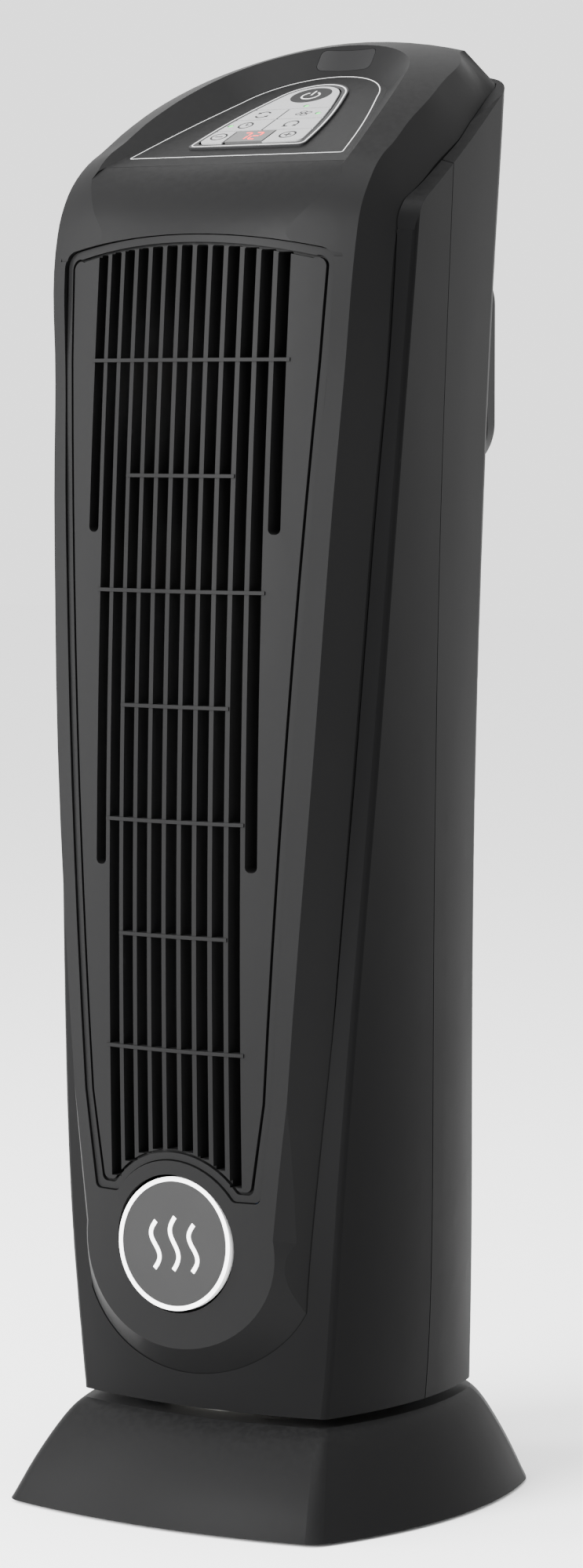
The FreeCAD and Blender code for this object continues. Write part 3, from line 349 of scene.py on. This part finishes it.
def metal(name, colour, roughness, squeeze=(1.0, 1.0, 30.0)):
    material, shader, place = start_finish(name, Metallic=1.0)
    drawn = place.node("ShaderNodeMapping", None, {"Vector": place, "Scale": squeeze})
    streak = drawn.noise(180.0, 4.0, 0.6)
    blot = place.noise(50.0, 3.0)
    feed(
        shader,
        Base_Color=(blot * 0.5 + streak * 0.5).mix(scaled(colour, 0.82), scaled(colour, 1.0)),
        Roughness=streak * 0.12 + blot * 0.05 + (roughness - 0.06),
        Normal=streak.bump(0.00002, 0.5),
    )
    return material


def circuit_board():
    material, shader, place = start_finish("circuit_board", Coat_Weight=0.3)
    settings = {"feature": "DISTANCE_TO_EDGE"}
    edge = place.node("ShaderNodeTexVoronoi", settings, {"Vector": place, "Scale": 260.0})
    track = 1 - edge.above(0.12, 0.03)
    feed(
        shader,
        Base_Color=track.mix((0.012, 0.10, 0.035, 1.0), (0.03, 0.20, 0.07, 1.0)),
        Roughness=track * 0.1 + 0.34,
        Normal=track.bump(0.00006),
    )
    return material


def open_foam():
    material, shader, place = start_finish("open_foam", Roughness=0.95)
    cells = place.node("ShaderNodeTexVoronoi", None, {"Vector": place, "Scale": 700.0})
    pore = 1 - cells.above(0.42, 0.2)
    feed(shader, Base_Color=pore.mix(grey(0.03), grey(0.006)), Normal=cells.bump(0.0006))
    return material


def mica():
    material, shader, place = start_finish("mica", Coat_Weight=0.1)
    cells = place.node("ShaderNodeTexVoronoi", None, {"Vector": place, "Scale": 320.0}, output=1)
    flake = cells.node("ShaderNodeSeparateColor", None, {0: cells})
    low, high = (0.035, 0.033, 0.028, 1.0), (0.075, 0.07, 0.058, 1.0)
    feed(shader, Base_Color=flake.mix(low, high), Roughness=0.45 + flake * 0.3)
    return material


STEEL = metal("turned_steel", (0.55, 0.55, 0.56), 0.32)
SCREW = metal("black_screw", (0.06, 0.06, 0.062), 0.4, squeeze=(1, 1, 1))
FINS = metal("fin_aluminium", (0.30, 0.30, 0.31), 0.5, squeeze=(1, 1, 8))
BRONZE = metal("oiled_bronze", (0.55, 0.38, 0.2), 0.35)
BOARD = circuit_board()
FOAM = open_foam()
MICA = mica()
print("inner finishes made")

# %% [markdown]
# ## Dressing the CAD parts
#
# Every CAD node is named here once beside its finish. The parts keep their own mesh and place,
# and only their material slots change.

# %% Assign the finishes
FINISHES = {
    HOUSING: ["front_housing", "rear_housing"],
    FASCIA: ["front_cover"],
    GRILLE: ["outlet_grille", "intake_grille"],
    BASE: ["base_cover", "base_plate", "gear_post"],
    BADGE: ["badge_disc"],
    BADGE_WHITE: ["badge_ring"],
    OVERLAY: ["panel_overlay"],
    SILVER: ["power_key", "mode_key", "fan_key", "timer_key", "swing_key", "minus_key", "plus_key"],
    DISPLAY: ["display_window"],
    SMOKED: ["receiver_window"],
    LAMP: ["indicator_lamps"],
    INNER: ["display_module", "key_switches", "blower_wheel", "blower_scroll", "air_duct"],
    RELAY: ["relays"],
    BOARD: ["control_board", "power_board"],
    STEEL: ["motor_shaft", "blower_motor", "thermal_cutoff", "swing_motor", "motor_bracket"],
    BRONZE: ["front_bearing", "rear_bearing"],
    FINS: ["heater_core"],
    MICA: ["heater_frame"],
    FOAM: ["intake_filter"],
    RUBBER: ["cord_gland", "rubber_feet"],
    NYLON: ["swing_hub", "hub_retainer", "slide_washer", "sector_gear", "swing_pinion"],
    SCREW: ["base_screws", "housing_screws"],
}

dressed = 0
for material, names in FINISHES.items():
    for name in names:
        for slot in frame["nodes"][name].material_slots:
            slot.material = material
        dressed += 1
print(dressed, "of", len(frame["nodes"]), "nodes dressed")

# %% [markdown]
# ## The panel's own frame
#
# Everything printed on the controls lies on one sloping plane. The keys are pressed along its
# normal, so a key's joint gives the slope, and the overlay's highest point along that normal gives
# the height. A flat drawing made in millimetres can then be laid on the panel with one matrix.

# %% Panel frame
press = next(j for j in frame["record"]["behaviour"]["joints"] if j["name"] == "power_key_press")
NORMAL = -Vector(press["axis"]).normalized()
UP_SLOPE = Vector((0, NORMAL.z, -NORMAL.y))
OVERLAY_TOP = 36.0 * MM
OVERLAY_THICK = 0.8 * MM
KEY_RISE = 1.1 * MM

overlay_points = [Vector(v.co) for v in frame["nodes"]["panel_overlay"].data.vertices]
level = max(p.dot(NORMAL) for p in overlay_points) - OVERLAY_THICK
rise = max(p.dot(UP_SLOPE) for p in overlay_points) - OVERLAY_TOP
PANEL = Matrix.Translation(NORMAL * level + UP_SLOPE * rise)
PANEL = PANEL @ Matrix((Vector((1, 0, 0)), UP_SLOPE, NORMAL)).transposed().to_4x4()
print("panel starts at", [round(v, 4) for v in PANEL.translation])

# %% [markdown]
# ## Drawing with ink
#
# A printed line is a very low ridge. It is drawn as a flat path, given a round profile, squashed to
# a few hundredths of a millimetre high, and turned into a mesh before it is laid in place. Arcs are
# worked out from a centre, a radius and two angles, so a mark needs only the points of its shape.

# %% Strokes
INK_HEIGHT = 0.05


def arc(x, y, radius, start, end, steps=20, squash=1.0):
    """Points along an arc, in degrees anticlockwise."""
    angles = [math.radians(start + (end - start) * i / steps) for i in range(steps + 1)]
    return [(x + radius * math.cos(a), y + radius * squash * math.sin(a)) for a in angles]


def stroke(points, width, closed=False):
    """One inked line through the points, in millimetres, lying flat at the origin."""
    curve = bpy.data.curves.new("stroke", "CURVE")
    curve.dimensions = "3D"
    curve.bevel_depth = width / 2
    curve.bevel_resolution = 2
    curve.use_fill_caps = True
    spline = curve.splines.new("POLY")
    spline.points.add(len(points) - 1)
    for point, place in zip(spline.points, points):
        point.co = (*place, 0.0, 1.0)
    spline.use_cyclic_u = closed
    drawn = bpy.data.objects.new("stroke", curve)
    bpy.context.collection.objects.link(drawn)
    bpy.ops.object.select_all(action="DESELECT")
    bpy.context.view_layer.objects.active = drawn
    drawn.select_set(True)
    bpy.ops.object.convert(target="MESH")
    return bpy.context.object


def lay(name, strokes, matrix, lift, finish, body):
    """Joins strokes into one piece, squashes it into ink and lays it on a plane."""
    bpy.ops.object.select_all(action="DESELECT")
    for part in strokes:
        part.select_set(True)
    bpy.context.view_layer.objects.active = strokes[0]
    if len(strokes) > 1:
        bpy.ops.object.join()
    piece = bpy.context.object
    piece.name = name
    highest = max(v.co.z for v in piece.data.vertices)
    flatten = Matrix.Diagonal((MM, MM, MM * INK_HEIGHT / highest, 1.0))
    piece.matrix_world = matrix @ Matrix.Translation((0, 0, lift)) @ flatten
    bpy.context.view_layer.update()
    bpy.ops.object.transform_apply(location=True, rotation=True, scale=True)
    piece.data.materials.clear()
    piece.data.materials.append(finish)
    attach(piece, body)
    print(name, len(piece.data.polygons), "faces")


# %% [markdown]
# ## The two white outlines
#
# One thin white line runs just inside the edge of the overlay, and a larger one on the panel round
# it. Both are shields: a round rear end, gently bowed sides and a wide front.

# %% Shield outlines


def shield_line(top, radius, half_front, front, bow, corner):
    """A shield: an arc over the rear, bowed sides and rounded front corners."""
    centre = top - radius
    points = arc(0, centre, radius, 15, 165, 28)
    left = points[-1]
    foot = (-half_front, front + corner)
    side = []
    for i in range(1, 12):
        share = i / 12
        out = bow * math.sin(math.pi * share)
        x = left[0] + (foot[0] - left[0]) * share - out
        side.append((x, left[1] + (foot[1] - left[1]) * share))
    round_left = arc(-half_front + corner, front + corner, corner, 180, 270, 6)
    points += side + round_left
    round_right = [(-x, y) for x, y in reversed(round_left)]
    return points + round_right + [(-x, y) for x, y in reversed(side)]


overlay_line = stroke(shield_line(34.9, 16.2, 26.6, -29.8, 1.9, 2.4), 0.6, closed=True)
lay("overlay_border", [overlay_line], PANEL, OVERLAY_THICK, INK_WHITE, "tower")
panel_line = stroke(shield_line(45.6, 33.0, 50.2, -38.8, 1.2, 0.8), 0.45, closed=True)
lay("panel_outline", [panel_line], PANEL, 0.0, INK_WHITE, "tower")

# %% [markdown]
# ## Marks on the keys
#
# Each key carries a plain sign of its own: a power sign on a dark oval, turning arrows, a small
# fan, a clock, a sweep arrow, minus and plus. They ride on their keys, so a mark goes down with
# the key when it is pressed. They are drawn from arcs and short lines only.

# %% Signs
TIMER = (-12.6, -8.9)
MODE = (-11.1, 2.4)
FAN = (8.3, 2.4)
SWING = (9.1, -8.8)
MINUS = (-18.3, -20.6)
PLUS = (14.4, -20.6)
SIGN = 3.0
ROUND_SIGN = 3.4
BARB = 1.5
BAR_HALF = 1.8
LINE = 0.85
FINE_LINE = 0.55


def arrow_head(x, y, angle, size):
    """Two short barbs that meet at a point."""
    barbs = []
    for turn in (150, 210):
        a = math.radians(angle + turn)
        barbs.append((x + size * math.cos(a), y + size * math.sin(a)))
    return [barbs[0], (x, y), barbs[1]]


def mark(key, lines, width=LINE, finish=INK_DARK, lift=KEY_RISE):
    """Lays a sign on a key; each line is its points and whether it closes."""
    strokes = [stroke(points, width, closed) for points, closed in lines]
    lay(key + "_mark", strokes, PANEL, lift, finish, key + "_body")


def open_lines(*paths):
    return [(path, False) for path in paths]


def ring(centre, radius, squash=1.0):
    """A closed ring; its arc stops one step short of the full turn."""
    return (arc(*centre, radius, 0, 342, squash=squash), True)


def bar(centre):
    """A short level line through a centre."""
    x, y = centre
    return [(x - BAR_HALF, y), (x + BAR_HALF, y)]


x, y = TIMER
mark("timer_key", [ring(TIMER, SIGN)] + open_lines([(x, y + 2.0), (x, y), (x + 1.6, y)]))

x, y = MODE
turning = open_lines(arc(x, y, SIGN, 25, 155), arc(x, y, SIGN, 205, 335))
turning += open_lines(arrow_head(x - 2.9, y + 1.0, 240, BARB))
turning += open_lines(arrow_head(x + 2.9, y - 1.0, 60, BARB))
mark("mode_key", turning)

x, y = FAN
hubs = ((-1.9, -0.7), (1.9, 0.7), (-0.7, 1.4), (0.7, -1.4))
blades = [(arc(x + dx, y + dy, BARB, 0, 340, 14, 0.62), True) for dx, dy in hubs]
mark("fan_key", blades, FINE_LINE)

x, y = SWING
sweep = open_lines(arc(x, y, SIGN, -50, 230), arrow_head(x + 1.8, y - 2.4, 230, BARB))
sweep += open_lines([(x - 3.1, y - 2.5), (x - 0.5, y - 2.5)])
mark("swing_key", sweep)

mark("minus_key", [ring(MINUS, ROUND_SIGN, 0.92)] + open_lines(bar(MINUS)))
x, y = PLUS
upright = [(x, y - BAR_HALF), (x, y + BAR_HALF)]
mark("plus_key", [ring(PLUS, ROUND_SIGN, 0.92)] + open_lines(bar(PLUS), upright))

# %% [markdown]
# ### The power key
#
# Its dark oval is a filled circle with a little thickness, inset once inside its rim. The white
# sign sits on top.

# %% Power oval
OVAL = (9.0, 7.9)
OVAL_CENTRE = (0.0, 22.4)
OVAL_THICK = 0.06
OVAL_RIM = 0.03
POWER_LINE = 0.8

bpy.ops.object.select_all(action="DESELECT")
bpy.ops.mesh.primitive_circle_add(vertices=64, radius=1.0, fill_type="NGON")
oval = bpy.context.object
bpy.ops.object.mode_set(mode="EDIT")
bpy.ops.mesh.select_all(action="SELECT")
bpy.ops.mesh.extrude_region_move(TRANSFORM_OT_translate={"value": (0, 0, OVAL_THICK)})
bpy.ops.mesh.inset(thickness=OVAL_RIM, depth=0.0)
bpy.ops.mesh.select_all(action="SELECT")
bpy.ops.mesh.normals_make_consistent(inside=False)
bpy.ops.object.mode_set(mode="OBJECT")
squash = Matrix.Diagonal((OVAL[0] * MM, OVAL[1] * MM, MM, 1.0))
slide = Matrix.Translation((OVAL_CENTRE[0] * MM, OVAL_CENTRE[1] * MM, KEY_RISE))
oval.matrix_world = PANEL @ slide @ squash
bpy.context.view_layer.update()
bpy.ops.object.transform_apply(location=True, rotation=True, scale=True)
oval.name = "power_key_oval"
oval.data.materials.append(INK_DARK)
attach(oval, "power_key_body")
power_sign = open_lines(arc(0, 22.0, 3.9, 120, 420, 26, 0.9), [(0, 27.0), (0, 22.4)])
mark("power_key", power_sign, POWER_LINE, INK_WHITE, KEY_RISE + OVAL_THICK * MM)

# %% [markdown]
# ## Digits
#
# The display shows a room temperature with seven-segment digits. Each digit is a small table of
# which segments are lit, and a segment is one short thick stroke.

# %% Digits
DIGIT_HALF = (1.7, 3.4)
DIGIT_Y = -20.7
DIGIT_LEAN = 0.12
SEGMENT_GAP = 0.35
SEGMENTS = {
    "top": ((-1, 1), (1, 1)),
    "middle": ((-1, 0), (1, 0)),
    "bottom": ((-1, -1), (1, -1)),
    "upper_left": ((-1, 0), (-1, 1)),
    "upper_right": ((1, 0), (1, 1)),
    "lower_left": ((-1, -1), (-1, 0)),
    "lower_right": ((1, -1), (1, 0)),
}
LIT = {
    7: ["top", "upper_right", "lower_right"],
    2: ["top", "upper_right", "middle", "lower_left", "bottom"],
}


def digit(number, centre_x):
    """The lit segments of one leaning digit."""
    strokes = []
    for segment in LIT[number]:
        ends = []
        for across, up in SEGMENTS[segment]:
            x = centre_x + across * DIGIT_HALF[0] + up * DIGIT_HALF[1] * DIGIT_LEAN
            ends.append((x, DIGIT_Y + up * DIGIT_HALF[1]))
        start, end = Vector(ends[0]), Vector(ends[1])
        gap = (end - start).normalized() * SEGMENT_GAP
        strokes.append(stroke([tuple(start + gap), tuple(end - gap)], LINE))
    return strokes


digits = digit(7, -6.0) + digit(2, -0.6)
lay("display_digits", digits, PANEL, KEY_RISE, DIGIT, "tower")

# %% [markdown]
# ## The badge's mark
#
# The badge needs a sign of its own. Three rising wavy lines say warm air and belong to nobody.
# The plane of the badge comes from the disc itself: its box gives the centre, and the disc leans
# back a little, as the front skin does.

# %% Warm air mark
BADGE_LEAN = math.radians(2.5)
WAVE_PLACES = (-9.0, 0.0, 9.0)
WAVE_HALF = 10.5
WAVE_SWING = 2.2
WAVE_WIDTH = 2.0
OUTER_DROP = 0.25
low_corner, high_corner = [Vector(c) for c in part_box("badge_disc")]
centre = (low_corner + high_corner) / 2
face_normal = Vector((0, -math.cos(BADGE_LEAN), math.sin(BADGE_LEAN)))
disc_points = [Vector(v.co) for v in frame["nodes"]["badge_disc"].data.vertices]
disc_level = max((p - centre).dot(face_normal) for p in disc_points)
face_up = Vector((0, math.sin(BADGE_LEAN), math.cos(BADGE_LEAN)))
FACE = Matrix((Vector((1, 0, 0)), face_up, face_normal)).transposed().to_4x4()
FACE = Matrix.Translation(centre + face_normal * disc_level) @ FACE


def wavy(x, steps=36):
    """One rising wave; the outer ones stop a little lower than the middle one."""
    low, high = -WAVE_HALF, WAVE_HALF - abs(x) * OUTER_DROP
    points = []
    for i in range(steps + 1):
        share = i / steps
        points.append((x + WAVE_SWING * math.sin(2 * math.pi * share), low + (high - low) * share))
    return points


waves = [stroke(wavy(x), WAVE_WIDTH) for x in WAVE_PLACES]
lay("badge_mark", waves, FACE, 0.0, BADGE_WHITE, "tower")
